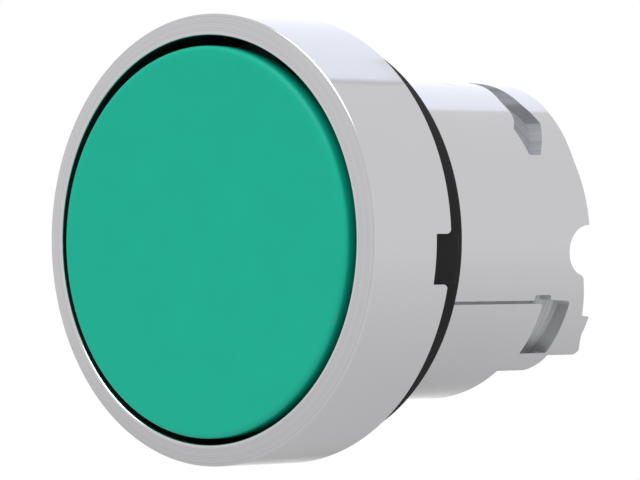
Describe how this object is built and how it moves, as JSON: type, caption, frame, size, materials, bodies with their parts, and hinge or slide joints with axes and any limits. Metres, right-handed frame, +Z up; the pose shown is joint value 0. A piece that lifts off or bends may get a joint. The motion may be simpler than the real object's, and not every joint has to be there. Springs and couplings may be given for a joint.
{
  "type": "industrial push button",
  "caption": "Spring-return push button head for a 22 mm panel hole: chromed round bezel and grooved barrel, flush round green cap, black gasket with a locating tab.",
  "frame": {"origin": "centre of the panel seat: on the button's axis, in the plane of the gasket's rear face, which rests on the front of the panel", "axes": "+Y along the button's axis, from the operator into the panel; the cap faces -Y; +Z up; +X to the operator's right"},
  "size_m": [0.029, 0.0283, 0.029],
  "materials": {
    "chrome_plate": "satin chrome plate on a zinc casting",
    "gasket_rubber": "matt moulded",
    "cap_green": "fine matt texture",
    "plunger_grey": "moulded",
    "diaphragm_silicone": "soft moulded",
    "clamp_ring_white": "moulded",
    "bush_black": "moulded",
    "washer_steel": "stamped",
    "spring_wire_steel": "drawn wire",
    "retaining_ring_steel": "dark phosphated",
    "stop_clip_steel": "dark phosphated",
    "yoke_ivory": "moulded",
    "pin_steel": "ground"
  },
  "bodies": {
    "head": {"housing": "chrome_plate", "panel_gasket": "gasket_rubber", "sealing_diaphragm": "diaphragm_silicone", "diaphragm_clamp_ring": "clamp_ring_white", "guide_bush": "bush_black", "spring_washer": "washer_steel", "return_spring": "spring_wire_steel", "bush_retaining_ring": "retaining_ring_steel"},
    "button": {"button_cap": "cap_green", "plunger": "plunger_grey", "rest_stop_clip": "stop_clip_steel", "contact_yoke": "yoke_ivory", "yoke_pin": "pin_steel"}
  },
  "joints": [
    {"name": "button_press", "type": "slide", "parent": "head", "child": "button", "axis": [0, 1, 0], "range_m": [0, 0.0043], "stiffness_N_per_m": 510, "springref_m": -0.0031, "deforming": ["return_spring", "sealing_diaphragm"]}
  ]
}
